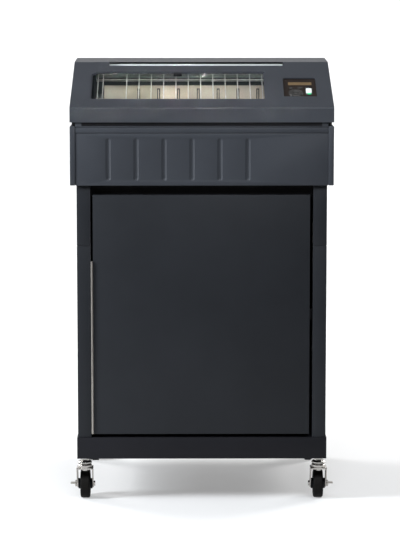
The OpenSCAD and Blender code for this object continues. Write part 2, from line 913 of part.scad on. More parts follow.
module guide_bar() {
    color(steel) {
        block([-frame_half, guide_y, bar_z0], [frame_half, guide_y + 6, bar_z1]);
        for (i = [0:screw_n - 1]) {
            x = screw_x0 + (screw_x1 - screw_x0) * i / (screw_n - 1);
            rod_y(guide_y - 2, guide_y + 2, x, (bar_z0 + bar_z1) / 2, screw_d);
        }
    }
}

module support_rods() {
    color(chrome) {
        rod_x(-frame_half, frame_half, drive_y, support_z, shaft_d);
        rod_x(-frame_half, frame_half, drive_y, top_rod_z, top_rod_d);
    }
}

module feed_motor() {
    color(black) {
        block([frame_half - motor_l, motor_y - motor_w / 2, motor_z - motor_w / 2],
            [frame_half, motor_y + motor_w / 2, motor_z + motor_w / 2]);
        rod_x(frame_half - over, frame_half + frame_t + pulley_w, motor_y, motor_z, motor_shaft_d);
        rod_x(frame_half + frame_t + 1, frame_half + frame_t + pulley_w, motor_y, motor_z, motor_pulley_d);
    }
}

module hood_hinges() {
    r = hood_knuckle_d / 2;
    color(steel) for (side = [-1, 1]) {
        x = side * hood_hinge_x;
        block([x - hood_pin_half, rear_in - 3, base_top - hinge_leaf_h],
            [x + hood_pin_half, rear_in, base_top - 0.5]);
        rod_x(x - hood_pin_half, x + hood_pin_half, hood_axis_y, hood_axis_z, hood_pin_d);
        for (k = [-1, 1]) {
            lo = x + (k - 0.5) * hood_knuckle_l + seat;
            hi = x + (k + 0.5) * hood_knuckle_l - seat;
            rod_x(lo, hi, hood_axis_y, hood_axis_z, hood_knuckle_d);
            block([lo, hood_axis_y - r, base_top - 10], [hi, rear_in, hood_axis_z]);
        }
    }
}

// Outline of the hood in Y and Z with rounded creases; drop lengthens its foot.
module hood_outline(drop) {
    intersection() {
        offset(r = crease_r) offset(delta = -crease_r)
            polygon([[front_y, hood_z - 40], [front_y, crease_z], [ridge_y, ridge_z], [peak_y, peak_z],
                [hood_back, rear_crease_z], [hood_back, hood_z - 40]]);
        translate([front_y - 10, hood_z - drop]) square([body_d + 20, ridge_z]);
    }
}

// The hood's mass, shrunk by inset on its sides, with both sides leaning in.
module hood_mass(inset, drop) {
    difference() {
        extrude_x(-half_w + inset, half_w - inset) offset(delta = -inset) hood_outline(drop + inset);
        for (side = [-1, 1]) {
            translate([side * (half_w - inset), 0, crease_z]) rotate([0, -side * draft_a, 0])
                block([side > 0 ? 0 : -30, front_y - 20, 0],
                    [side > 0 ? 30 : 0, back_y + 20, slope_rise + 40]);
        }
    }
}

module window_outline() {
    offset(r = 3) offset(delta = -3)
        polygon([[win_x0, win_s0], [win_x1, win_s0], [win_x1, win_s1],
            [win_x0 + win_corner, win_s1], [win_x0, win_s1 - win_corner]]);
}

module hood_shell() {
    color(dark) difference() {
        union() {
            difference() {
                hood_mass(0, 0);
                hood_mass(wall, over);
                on_slope() {
                    translate([0, 0, -wall - 2]) linear_extrude(wall + 4) window_outline();
                    translate([0, 0, -win_step_t]) linear_extrude(wall)
                        offset(delta = win_step) window_outline();
                    translate([panel_x, panel_s, -wall - 2]) linear_extrude(wall + 4)
                        round_rect(panel_w, panel_l, 3);
                    block([slot_x0, slope_l - slot_s, -12], [slot_x1, slope_l - 0.5, 12]);
                }
                block([slot_x0, ridge_y - over, ridge_z - wall - over],
                    [slot_x1, ridge_y + slot_lip_in - over, ridge_z - slot_edge_t]);
                on_rear_slope() translate([0, (rear_flute_end - flute_w) / 2, 0])
                    flute_row(rear_flute_end + flute_w);
                for (side = [-1, 1]) {
                    x = side * hood_hinge_x;
                    rod_x(x - hood_pin_half - over, x + hood_pin_half + over,
                        hood_axis_y, hood_axis_z, relief_d);
                }
            }
            for (side = [-1, 1]) {
                x = side * hood_hinge_x;
                lo = x - hood_knuckle_l / 2 + seat;
                hi = x + hood_knuckle_l / 2 - seat;
                rod_x(lo, hi, hood_axis_y, hood_axis_z, hood_knuckle_d);
                block([lo, hood_axis_y - 3, hood_axis_z], [hi, hood_back - 1, hood_z + 10]);
            }
        }
        for (side = [-1, 1]) {
            x = side * hood_hinge_x;
            rod_x(x - hood_pin_half, x + hood_pin_half, hood_axis_y, hood_axis_z, hood_pin_d + 2 * fit);
        }
    }
}

module window_pane() {
    color([0.75, 0.8, 0.8, 0.4]) on_slope()
        block([win_x0 - pane_lap, win_s0 - pane_lap, -wall - pane_t],
            [win_x1 + pane_lap, win_s1 + pane_lap, -wall]);
}

// Row of wires under the pane on two cross bars, hung from the hood by four tabs.
module wire_guard() {
    row = [for (i = [0:wire_n - 1]) first_wire + i * wire_pitch];
    xs = concat([pair_x, pair_x + pair_pitch], row);
    color(chrome) on_slope() {
        for (x = xs) {
            rod_y(bar_s0, bar_s1, x, wire_depth, wire_d, $fn = 24);
        }
        for (s = [bar_s0, bar_s1]) {
            rod_x(win_x0 - 4, win_x1 + 4, s, wire_depth - wire_d / 2 - bar_d / 2 + 0.6, bar_d);
            for (x = [win_x0 - tab_w / 2, win_x1 - tab_w / 2]) {
                block([x, s - 3, wire_depth - wire_d / 2 - bar_d], [x + tab_w, s + 3, -wall]);
            }
        }
    }
}

// Pale strip behind the exit slot, hung from the underside of the top.
module slot_lip() {
    lip_y = ridge_y + slot_lip_in;
    color(pale) block([slot_x0, lip_y, ridge_z - wall - 13], [slot_x1, lip_y + 8, ridge_z - wall - 0.2]);
}

// Key outlines round their own middle.
module key_hole(w, l, r) {
    translate([0, 0, -30]) linear_extrude(60) round_rect(w + 2 * key_gap, l + 2 * key_gap, r);
}

module control_bezel() {
    face = -panel_recess;
    color(panel_black) on_slope() difference() {
        union() {
            translate([panel_x, panel_s, -wall - bezel_t + 1])
                linear_extrude(bezel_t - 1) round_rect(panel_w + 2 * bezel_lap, panel_l + 2 * bezel_lap, 4);
            translate([panel_x, panel_s, -wall - over]) linear_extrude(over + wall + face)
                round_rect(panel_w - 2 * seat, panel_l - 2 * seat, 3);
        }
        translate([nav_x, nav_s, -30]) cylinder(d = nav_d + 2 * key_gap, h = 60);
        translate([online_x, online_s, 0]) key_hole(online_w, online_l, 3);
        translate([online_x, stop_s, -30]) cylinder(d = stop_d + 2 * key_gap, h = 60);
        for (side = [-1, 1]) {
            translate([nav_x + side * small_dx, small_s, 0]) key_hole(small_w, small_l, 2);
        }
        block([display_x - display_w / 2 - seat, display_s - display_l / 2 - seat, face - 1.6 - seat],
            [display_x + display_w / 2 + seat, display_s + display_l / 2 + seat, 10]);
    }
}

module display_window() {
    color([0.75, 0.45, 0.1]) on_slope()
        block([display_x - display_w / 2, display_s - display_l / 2, -panel_recess - 1.6],
            [display_x + display_w / 2, display_s + display_l / 2, -panel_recess + 0.2]);
}

// A round key of diameter d at x, s; it reaches key_body below the panel face.
module round_key(x, s, d) {
    on_slope() translate([x, s, -panel_recess - key_body]) cylinder(d = d, h = key_body + key_rise);
}

module nav_ring() {
    color(key_brown) difference() {
        round_key(nav_x, nav_s, nav_d);
        on_slope() translate([nav_x, nav_s, -30]) cylinder(d = enter_d + 2 * key_gap, h = 60);
    }
}

module enter_key() {
    color(key_brown) round_key(nav_x, nav_s, enter_d);
}

module stop_key() {
    color(black) round_key(online_x, stop_s, stop_d);
}

module flat_key(x, s, w, l, r) {
    on_slope() translate([x, s, -panel_recess - key_body])
        linear_extrude(key_body + key_rise) round_rect(w, l, r);
}

module left_key() {
    color(key_brown) flat_key(nav_x - small_dx, small_s, small_w, small_l, 2);
}

module right_key() {
    color(key_brown) flat_key(nav_x + small_dx, small_s, small_w, small_l, 2);
}

module online_key() {
    color(pale) flat_key(online_x, online_s, online_w, online_l, 3);
}

// Outline of a fork leg in Y and Z, leaning back to the axle.
module leg_outline() {
    hull() {
        translate([caster_trail, axle_z]) circle(r = leg_r);
        translate([-yoke_front, race_z - 8]) square([yoke_front + yoke_back, 8]);
    }
}

module fork(side, rear) {
    y = rear ? caster_ry : caster_fy;
    outer = fork_w / 2;
    nut_out = rear ? axle_nut_h : brake_hub_l + 1;
    color(chrome) on_side(side) translate([caster_x, y, 0]) difference() {
        union() {
            drum(race_z, race_z + race_h, 0, 0);
            block([-outer, -yoke_front, yoke_z], [outer, yoke_back, race_z]);
            extrude_x(-outer, -outer + fork_t) leg_outline();
            extrude_x(outer - fork_t, outer) leg_outline();
            rod_x(-outer - axle_nut_h, outer + nut_out, caster_trail, axle_z, axle_d);
            translate([-outer - axle_nut_h, caster_trail, axle_z]) rotate([0, 90, 0])
                cylinder(d = axle_nut_d, h = axle_nut_h + over, $fn = 6);
        }
        rod_z(yoke_z - over, race_z + race_h + over, 0, 0, stem_d + 2 * fit);
    }
}

// Tyre with rounded shoulders and its own hub, on the X axis.
module wheel(side, rear) {
    y = (rear ? caster_ry : caster_fy) + caster_trail;
    shoulder = 5;
    color(black) translate([side * caster_x, y, axle_z]) rotate([0, 90, 0]) {
        rotate_extrude() offset(r = shoulder) offset(delta = -shoulder)
            translate([hub_r, -wheel_w / 2]) square([wheel_d / 2 - hub_r, wheel_w]);
        rotate_extrude() difference() {
            translate([axle_d / 2 + fit, -hub_w / 2]) square([hub_r - hub_gap - axle_d / 2 - fit, hub_w]);
            for (k = [-1, 1]) translate([axle_nut_d, k * hub_dish - hub_w / 2]) square([hub_r, hub_w]);
        }
    }
}

module brake(side) {
    x = fork_w / 2 + seat;
    y = caster_fy + caster_trail;
    color(steel) on_side(side) translate([caster_x, y, axle_z]) difference() {
        union() {
            rod_x(x, x + brake_hub_l, 0, 0, brake_hub_d);
            block([x, -30, 2], [x + brake_arm_t, 0, 8]);
            block([x, -40, 7], [x + brake_w, -24, 7 + brake_arm_t]);
        }
        rod_x(x - over, x + brake_w + over, 0, 0, axle_d + 2 * fit);
    }
}

module drive_shaft() {
    x1 = frame_half + frame_t;
    color(steel) {
        block([-frame_half + seat, drive_y - square_w / 2, drive_z - square_w / 2],
            [frame_half - seat, drive_y + square_w / 2, drive_z + square_w / 2]);
        rod_x(-x1 + seat, -frame_half + 6, drive_y, drive_z, shaft_d);
        rod_x(frame_half - 6, x1 + pulley_w + knob_w + 4, drive_y, drive_z, shaft_d);
        rod_x(x1 + 1, x1 + pulley_w, drive_y, drive_z, pulley_d);
    }
    color(black) translate([x1 + pulley_w + 4, drive_y, drive_z]) rotate([0, 90, 0])
        cylinder(d = knob_d, h = knob_w, $fn = 12);
}

// Tractor drawn on the right: housing, belt with pins, and lugs for the gate.
module tractor(side) {
    x1 = tractor_x;
    x0 = x1 - tractor_w;
    outer_y = drive_y - belt_r;
    color(black) on_side(side) difference() {
        union() {
            for (z = [drive_z, support_z]) rod_x(x0, x1, drive_y, z, 2 * belt_r);
            block([x0, outer_y, drive_z], [x1, drive_y + belt_r, support_z]);
            for (i = [0:2]) {
                rod_y(outer_y - 4.5, outer_y + over, (x0 + x1) / 2, drive_z + 4 + i * pin_pitch, pin_d);
            }
            for (z = [gate_z0 - seat - lug_t, gate_z1 + seat]) {
                block([x1 - 4, gate_y - 4, z], [x1 + 4, drive_y, z + lug_t]);
            }
        }
        rod_x(x0 - over, x1 + over, drive_y, drive_z, square_w * 1.5);
        rod_x(x0 - over, x1 + over, drive_y, support_z, shaft_d + 2 * fit);
        rod_z(gate_z0 - 10, gate_z1 + 10, x1, gate_y, gate_pin_d + 2 * fit);
    }
}

module gate(side) {
    color(darker) on_side(side) {
        block([tractor_x - tractor_w + 2, gate_y - gate_t / 2, gate_z0],
            [tractor_x, gate_y + gate_t / 2, gate_z1]);
        rod_z(gate_z0, gate_z1, tractor_x, gate_y, gate_t + 1);
        rod_z(gate_z0 - lug_t, gate_z1 + lug_t, tractor_x, gate_y, gate_pin_d);
    }
}

// Spool with two flanges, a hub with a bore, and the wound ribbon.
module spool(side) {
    bore = spindle_d / 2 + fit;
    rim = spool_d / 2;
    wound = spool_d * 0.4;
    flange = 1.5;
    color(black) translate([side * spool_x, spool_y, spool_z]) rotate_extrude()
        polygon([[bore, 0], [rim, 0], [rim, flange], [wound, flange],
            [wound, spool_h - flange], [rim, spool_h - flange], [rim, spool_h], [bore, spool_h]]);
}

// Hammer bank: a long block with a face plate towards the paper and cooling ribs on top.
module shuttle() {
    color(steel) {
        block([-shuttle_w / 2, shuttle_y0, shuttle_z],
            [shuttle_w / 2, shuttle_y1, shuttle_z + shuttle_h - 8]);
        for (i = [0:5]) {
            block([-shuttle_w / 2 + 10, shuttle_y0 + 4 + i * 8, shuttle_z + shuttle_h - 8 - over],
                [shuttle_w / 2 - 10, shuttle_y0 + 7 + i * 8, shuttle_z + shuttle_h]);
        }
    }
}

module platen() {
    color(steel) block([-frame_half + seat, platen_y, platen_z],
        [frame_half - seat, platen_y + platen_d, platen_z + shuttle_h]);
}

// Forms thickness lever on the outside of the left frame.
module platen_lever() {
    x = -frame_half - frame_t - seat;
    color(black) {
        rod_x(-frame_half - frame_t - 6, -frame_half, lever_y, lever_z, lever_pin_d);
        rod_x(x - lever_t, x, lever_y, lever_z, lever_hub_d);
        block([x - lever_t, lever_y - 5, lever_z], [x, lever_y + 5, lever_z + lever_l - lever_grip_l + over]);
        block([x - lever_t - 4, lever_y - 8, lever_z + lever_l - lever_grip_l],
            [x, lever_y + 8, lever_z + lever_l]);
    }
}

module fan_rotor() {
    hub_r = fan_hub_d / 2;
    color(black) translate([fan_x, fan_y, fan_z]) rotate([-90, 0, 0]) difference() {
        union() {
            cylinder(r = hub_r, h = fan_rotor_l);
            for (i = [0:fan_blades - 1]) {
                rotate([0, 0, i * 360 / fan_blades]) translate([hub_r - 2, 0, fan_rotor_l / 2])
                    rotate([35, 0, 0]) block([0, -9, -0.8], [fan_d / 2 - hub_r - 1, 9, 0.8]);
            }
        }
        translate([0, 0, -over]) cylinder(d = fan_axle_d + 2 * fit, h = fan_rotor_l + 2 * over);
    }
}

plinth();
lower_panel(-1);  // left_side_panel
lower_panel(1);  // right_side_panel
upper_panel(-1);  // upper_left_panel
upper_panel(1);  // upper_right_panel
rear_panel();
front_cross_rail();
hinge_fixed_leaf();
door_catch();
base_pan();
base_front_panel();
end_panel(-1);  // left_end_panel
end_panel(1);  // right_end_panel
base_rear_panel();
power_inlet();
interface_panel();
card_cage();
side_frame(-1, lever_y, lever_z, lever_pin_d + 2 * fit);  // left_side_frame
side_frame(1, motor_y, motor_z, motor_w * 0.4);  // right_side_frame
paper_guide();
guide_bar();
support_rods();
feed_motor();
hood_hinges();
door_panel();
hinge_door_leaf();
hood_shell();
window_pane();
wire_guard();
slot_lip();
control_bezel();
display_window();
nav_ring();
enter_key();
left_key();
right_key();
online_key();
stop_key();
brake(-1);  // left_brake
brake(1);  // right_brake
drive_shaft();
tractor(-1);  // left_tractor
tractor(1);  // right_tractor
gate(-1);  // left_gate
gate(1);  // right_gate
spool(-1);  // left_spool
spool(1);  // right_spool
shuttle();
platen();
platen_lever();
fan_rotor();
power_switch();
fork(-1, false);  // front_left_fork
fork(1, false);  // front_right_fork
fork(-1, true);  // rear_left_fork
fork(1, true);  // rear_right_fork
wheel(-1, false);  // front_left_wheel
wheel(1, false);  // front_right_wheel
wheel(-1, true);  // rear_left_wheel
wheel(1, true);  // rear_right_wheel
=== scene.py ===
"""Looks of the floor-standing line printer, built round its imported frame."""

import json
import math

import bmesh
import bpy
from mathutils import Matrix, Vector


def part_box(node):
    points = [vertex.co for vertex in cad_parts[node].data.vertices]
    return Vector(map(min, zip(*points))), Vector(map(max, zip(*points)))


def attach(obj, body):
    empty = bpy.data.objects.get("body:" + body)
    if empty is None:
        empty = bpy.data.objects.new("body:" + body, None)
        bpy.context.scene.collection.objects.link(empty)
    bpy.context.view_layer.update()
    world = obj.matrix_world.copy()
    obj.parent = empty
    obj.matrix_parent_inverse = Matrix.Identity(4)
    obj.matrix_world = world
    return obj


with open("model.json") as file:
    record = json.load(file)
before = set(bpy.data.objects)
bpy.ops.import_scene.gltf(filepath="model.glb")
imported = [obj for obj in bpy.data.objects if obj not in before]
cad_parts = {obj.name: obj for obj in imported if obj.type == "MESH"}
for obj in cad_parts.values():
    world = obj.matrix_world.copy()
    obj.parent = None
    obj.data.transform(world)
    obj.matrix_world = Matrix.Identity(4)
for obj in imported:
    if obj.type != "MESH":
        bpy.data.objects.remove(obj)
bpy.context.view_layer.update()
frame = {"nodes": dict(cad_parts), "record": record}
nodes = frame["nodes"]
MM = 0.001

# The main sizes of the frame, in millimetres, that the trim sits on.
FRONT_Y = -310.0
CREASE_Z = 1051.0
SLOPE_RISE = 109.0
SLOPE_RUN = 245.0
SLOPE = math.atan2(SLOPE_RISE, SLOPE_RUN)
REAR_Y = 306.0
INLET_Y = 308.5
CAB_BACK = 293.0
PLINTH_Z = 118.0
CASTER_X = 312.0
CASTER_Y = (-265.5, 237.5)
CUP_R = 20.0
HUB_R = 26.0
TREAD_R = (36.8, 38.0)

# Louvres of the rear panel, in millimetres: two columns and two blocks of rows.
LOUVRE_X = 115.0
LOUVRE_Z = (265.0, 578.0)
LOUVRE_ROWS = 6
LOUVRE_PITCH = 18.0
LOUVRE_HALF = 75.0
LOUVRE_CAP = 4.0
LOUVRE_OUT = 4.5
LOUVRE_TOP = 8.5
LOUVRE_DROP = 6.5
LOUVRE_STEPS = 6
LOUVRE_SHEET = 0.9

# Screws on the rear: name, places across, depth, places up and the head's radius, in millimetres.
SCREWS = (
    ("rear_panel_screws", (-285, 0, 285), CAB_BACK, (190, 430, 670, 832), 4.2),
    ("rear_cover_screws", (-318, -20, 318), REAR_Y, (858, 990), 3.6),
    ("inlet_screws", (242, 282), INLET_Y, (880,), 2.6),
)

# The camera fitted to the photograph: focal length and width in pixels, then its place and turn.
FOCAL_PX = 2372.2
PHOTO_W = 400
SENSOR = 36.0
CAMERA_AT = (-0.0451, -6.490, 1.3965)
CAMERA_DOWN = 0.1274
CAMERA_TURN = -0.0065

# Floor and lights, in metres.
FLOOR_TONE = (0.47, 0.47, 0.47)
FLOOR_GLOW = 0.30
FLOOR_HALF = 6.0
FLOOR_FRONT = -2.0
WALL_START = 4.0
WALL_R = 2.0
WALL_STEPS = 12
WORLD_LIGHT = 0.10
WHITE = (1.0, 1.0, 1.0)
COOL = (0.93, 0.96, 1.0)


# Finishes, one material for each slot of the record.

class Finish:
    """One material's node tree, with the few textures that the finishes share."""

    def __init__(self, name, color, roughness, metallic=0.0):
        self.mat = bpy.data.materials.new(name)
        self.mat.use_nodes = True
        self.tree = self.mat.node_tree
        self.shader = self.tree.nodes["Principled BSDF"]
        self.shader.inputs["Base Color"].default_value = (*color, 1.0)
        self.shader.inputs["Roughness"].default_value = roughness
        self.shader.inputs["Metallic"].default_value = metallic
        self.coord = self.tree.nodes.new("ShaderNodeTexCoord").outputs["Object"]

    def link(self, a, b):
        self.tree.links.new(a, b)

    def stretched(self, scale):
        node = self.tree.nodes.new("ShaderNodeMapping")
        node.inputs["Scale"].default_value = scale
        self.link(self.coord, node.inputs["Vector"])
        return node.outputs["Vector"]

    def noise(self, scale, detail=2.0, rough=0.5, coord=None):
        node = self.tree.nodes.new("ShaderNodeTexNoise")
        node.inputs["Scale"].default_value = scale
        node.inputs["Detail"].default_value = detail
        node.inputs["Roughness"].default_value = rough
        self.link(coord or self.coord, node.inputs["Vector"])
        return node.outputs["Fac"]

    def ramp(self, fac, stops):
        node = self.tree.nodes.new("ShaderNodeValToRGB")
        elements = node.color_ramp.elements
        while len(elements) < len(stops):
            elements.new(0.5)
        for element, (place, color) in zip(elements, stops):
            element.position = place
            element.color = (*color, 1.0)
        self.link(fac, node.inputs["Fac"])
        return node.outputs["Color"]

    def spread(self, fac, low, high, frm=(0.3, 0.7)):
        node = self.tree.nodes.new("ShaderNodeMapRange")
        node.inputs["From Min"].default_value = frm[0]
        node.inputs["From Max"].default_value = frm[1]
        node.inputs["To Min"].default_value = low
        node.inputs["To Max"].default_value = high
        self.link(fac, node.inputs["Value"])
        return node.outputs["Result"]

    def mix(self, fac, a, b):
        node = self.tree.nodes.new("ShaderNodeMix")
        node.data_type = "RGBA"
        self.link(fac, node.inputs["Factor"])
        for value, socket in ((a, node.inputs[6]), (b, node.inputs[7])):
            if isinstance(value, tuple):
                socket.default_value = (*value, 1.0)
            else:
                self.link(value, socket)
        return node.outputs[2]

    def math(self, operation, a, b):
        node = self.tree.nodes.new("ShaderNodeMath")
        node.operation = operation
        self.link(a, node.inputs[0])
        self.link(b, node.inputs[1])
        return node.outputs["Value"]

    def vector(self, operation, a, value=None):
        node = self.tree.nodes.new("ShaderNodeVectorMath")
        node.operation = operation
        self.link(a, node.inputs[0])
        if value is not None:
            node.inputs[1].default_value = value
        return node.outputs["Value" if operation == "LENGTH" else "Vector"]

    def from_axis(self, coord, center, keep):
        """Distance from an axis through center; keep has 1 for each direction across the axis."""
        place = self.vector("SUBTRACT", coord, center)
        return self.vector("LENGTH", self.vector("MULTIPLY", place, keep))

    def color(self, socket):
        self.link(socket, self.shader.inputs["Base Color"])

    def roughness(self, socket):
        self.link(socket, self.shader.inputs["Roughness"])

    def bump(self, height, distance, strength=1.0):
        node = self.tree.nodes.new("ShaderNodeBump")
        node.inputs["Distance"].default_value = distance
        node.inputs["Strength"].default_value = strength
        self.link(height, node.inputs["Height"])
        self.link(node.outputs["Normal"], self.shader.inputs["Normal"])


def tones(color, amount):
    """Two tones a little under and over a colour."""
    return tuple(c * (1 - amount) for c in color), tuple(c * (1 + amount) for c in color)


def coated(name, color, roughness, grain, depth, specular=0.5, variation=0.10):
    """Grained plastic or powder coat: faint cloudy tone, fine grain, uneven gloss."""
    f = Finish(name, color, roughness)
    f.shader.inputs["Specular IOR Level"].default_value = specular
    low, high = tones(color, variation)
    f.color(f.ramp(f.noise(5.0, 4.0, 0.6), [(0.3, low), (0.7, high)]))
    fine = f.noise(grain, 3.0, 0.6)
    f.roughness(f.spread(fine, roughness - 0.06, roughness + 0.06))
    f.bump(fine, depth)
    return f.mat


def brushed(name, color, roughness, scale):
    """Metal with lines drawn along the axis whose scale is small."""
    f = Finish(name, color, roughness, 1.0)
    lines = f.noise(1.0, 3.0, 0.6, f.stretched(scale))
    low, high = tones(color, 0.10)
    f.color(f.ramp(lines, [(0.3, low), (0.7, high)]))
    f.roughness(f.spread(lines, roughness - 0.08, roughness + 0.10))
    f.bump(lines, 0.00003)
    return f.mat


def polished(name, color, roughness):
    f = Finish(name, color, roughness, 1.0)
    cloud = f.noise(60.0, 3.0, 0.6)
    low, high = tones(color, 0.06)
    f.color(f.ramp(cloud, [(0.35, low), (0.65, high)]))
    f.roughness(f.spread(cloud, roughness, roughness + 0.12))
    return f.mat


def glossy(name, color, roughness, glow=None):
    """Moulded gloss plastic with a faint ripple; glow is (colour, strength)."""
    f = Finish(name, color, roughness)
    low, high = tones(color, 0.12)
    f.color(f.ramp(f.noise(40.0, 3.0, 0.6), [(0.35, low), (0.65, high)]))
    f.bump(f.noise(160.0, 2.0, 0.5), 0.00003)
    if glow:
        f.shader.inputs["Emission Color"].default_value = (*glow[0], 1.0)
        f.shader.inputs["Emission Strength"].default_value = glow[1]
    return f.mat


def window_glass(name):
    f = Finish(name, (0.02, 0.03, 0.03), 0.04)
    f.shader.inputs["Alpha"].default_value = 0.10
    f.shader.inputs["IOR"].default_value = 1.49
    f.roughness(f.spread(f.noise(30.0, 4.0, 0.6), 0.02, 0.10))
    return f.mat


def wheel_finish(name, center):
    """Rubber tyre round a moulded hub, told apart by the distance from the axle."""
    f = Finish(name, (0.012, 0.012, 0.012), 0.6)
    f.shader.inputs["Specular IOR Level"].default_value = 0.06
    radius = f.from_axis(f.coord, center, (0.0, 1.0, 1.0))
    rim = f.spread(radius, 0.0, 1.0, ((HUB_R - 0.1) * MM, (HUB_R + 0.1) * MM))
    tread = f.spread(radius, 0.0, 1.0, (TREAD_R[0] * MM, TREAD_R[1] * MM))
    grit = f.noise(700.0, 4.0, 0.7)
    dust = f.mix(tread, (0.0035, 0.0035, 0.0035), (0.0070, 0.0064, 0.0060))
    f.color(f.mix(rim, (0.010, 0.010, 0.011), dust))
    f.roughness(f.spread(grit, 0.45, 0.72))
    f.bump(grit, 0.0001)
    return f.mat


PLINTH_TONE = (0.0085, 0.0086, 0.0108)
PLINTH_ROUGH = 0.48
PLINTH_GLOSS = 0.12


def plinth_finish(name):
    """Powder coat on the box and chrome on the caster cups that hang below it."""
    f = Finish(name, PLINTH_TONE, PLINTH_ROUGH)
    f.shader.inputs["Specular IOR Level"].default_value = PLINTH_GLOSS
    folded = f.vector("ABSOLUTE", f.coord)
    near = None
    for y in CASTER_Y:
        away = f.from_axis(folded, (CASTER_X * MM, abs(y) * MM, 0.0), (1.0, 1.0, 0.0))
        ring = f.spread(away, 1.0, 0.0, (CUP_R * MM, (CUP_R + 0.2) * MM))
        near = ring if near is None else f.math("MAXIMUM", near, ring)
    parts = f.tree.nodes.new("ShaderNodeSeparateXYZ")
    f.link(f.coord, parts.inputs[0])
    below = f.spread(parts.outputs["Z"], 1.0, 0.0, ((PLINTH_Z - 0.4) * MM, (PLINTH_Z - 0.2) * MM))
    metal = f.math("MULTIPLY", near, below)
    low, high = tones(PLINTH_TONE, 0.094)
    coat = f.ramp(f.noise(5.0, 4.0, 0.6), [(0.3, low), (0.7, high)])
    f.color(f.mix(metal, coat, (0.40, 0.39, 0.37)))
    f.link(metal, f.shader.inputs["Metallic"])
    f.roughness(f.spread(metal, PLINTH_ROUGH, 0.16, (0.0, 1.0)))
    f.bump(f.noise(1500.0, 3.0, 0.6), 0.00004)
    return f.mat


CHARCOAL = (0.0280, 0.0312, 0.0378)
MATERIALS = {
    "cabinet_paint": coated("cabinet_paint", (0.0126, 0.0140, 0.0168), 0.46, 1500.0, 0.00006, 0.14),
    "plinth_paint": coated("plinth_paint", PLINTH_TONE, PLINTH_ROUGH, 1500.0, 0.00006, PLINTH_GLOSS),
    "cover_plastic": coated("cover_plastic", CHARCOAL, 0.48, 2200.0, 0.00005, 0.22),
    "plated_steel": brushed("plated_steel", (0.38, 0.36, 0.33), 0.34, (900.0, 900.0, 30.0)),
    "black_plastic": coated("black_plastic", (0.008, 0.008, 0.009), 0.42, 1500.0, 0.00005, 0.10),
    "beige_paint": coated("beige_paint", (0.55, 0.48, 0.385), 0.60, 1200.0, 0.00004, variation=0.08),
    "bright_chrome": polished("bright_chrome", (0.42, 0.40, 0.38), 0.14),
    "clear_window": window_glass("clear_window"),
    "pale_plastic": coated("pale_plastic", (0.46, 0.50, 0.485), 0.40, 900.0, 0.00003, variation=0.05),
    "panel_gloss": glossy("panel_gloss", (0.016, 0.011, 0.009), 0.16),
    "key_plastic": glossy("key_plastic", (0.030, 0.029, 0.028), 0.20),
    "amber_display": glossy("amber_display", (0.080, 0.056, 0.030), 0.18, ((1.0, 0.66, 0.34), 0.06)),
    "cast_aluminium": brushed("cast_aluminium", (0.60, 0.61, 0.62), 0.36, (40.0, 900.0, 900.0)),
    "tyre_rubber": coated("tyre_rubber", (0.012, 0.012, 0.012), 0.60, 700.0, 0.0001, 0.12),
}
# Near-black matte used as painted shade: a dark sheet standing for shadow where only shade falls.
PAINTED_SHADE = coated("shade", (0.0030, 0.0032, 0.0034), 0.70, 900.0, 0.00003, 0.02)
WIRE_CHROME = polished("wire_chrome", (0.92, 0.91, 0.90), 0.34)
BAR_STEEL = coated("bar_steel", (0.50, 0.54, 0.50), 0.36, 900.0, 0.00003, 0.5)
LIT_KEY = glossy("lit_key", (0.64, 0.68, 0.67), 0.25, ((0.95, 1.0, 0.97), 0.08))
GREEN_LENS = glossy("green_lens", (0.010, 0.30, 0.10), 0.15, ((0.02, 1.0, 0.40), 0.36))


# Soft edges, and a finish on every node.

def smooth_group():
    """A node group that shades smooth up to an edge angle of 40 degrees."""
    group = bpy.data.node_groups.new("smooth_by_angle", "GeometryNodeTree")
    group.interface.new_socket("Geometry", in_out="INPUT", socket_type="NodeSocketGeometry")
    group.interface.new_socket("Geometry", in_out="OUTPUT", socket_type="NodeSocketGeometry")
    add = group.nodes.new
    source, sink = add("NodeGroupInput"), add("NodeGroupOutput")
    faces, edges = add("GeometryNodeSetShadeSmooth"), add("GeometryNodeSetShadeSmooth")
    edges.domain = "EDGE"
    angle, limit = add("GeometryNodeInputMeshEdgeAngle"), add("FunctionNodeCompare")
    limit.data_type = "FLOAT"
    limit.operation = "LESS_THAN"
    limit.inputs[1].default_value = math.radians(40)
    join = group.links.new
    join(source.outputs[0], faces.inputs["Geometry"])
    join(faces.outputs[0], edges.inputs["Geometry"])
    join(angle.outputs[0], limit.inputs[0])
    join(limit.outputs[0], edges.inputs["Shade Smooth"])
    join(edges.outputs[0], sink.inputs[0])
    return group


SMOOTH = smooth_group()


def soften(obj, width, segments=2, weld=True):
    """Rounds the sharp edges of a piece and shades it smooth between them."""
    if weld:
        mod = obj.modifiers.new("weld", "WELD")
        mod.merge_threshold = 0.00001
    if width:
        mod = obj.modifiers.new("bevel", "BEVEL")
        mod.width = width * MM
        mod.segments = segments
        mod.limit_method = "ANGLE"
        mod.angle_limit = math.radians(35)
        mod.use_clamp_overlap = True
        mod.loop_slide = False
    mod = obj.modifiers.new("smooth", "NODES")
    mod.node_group = SMOOTH


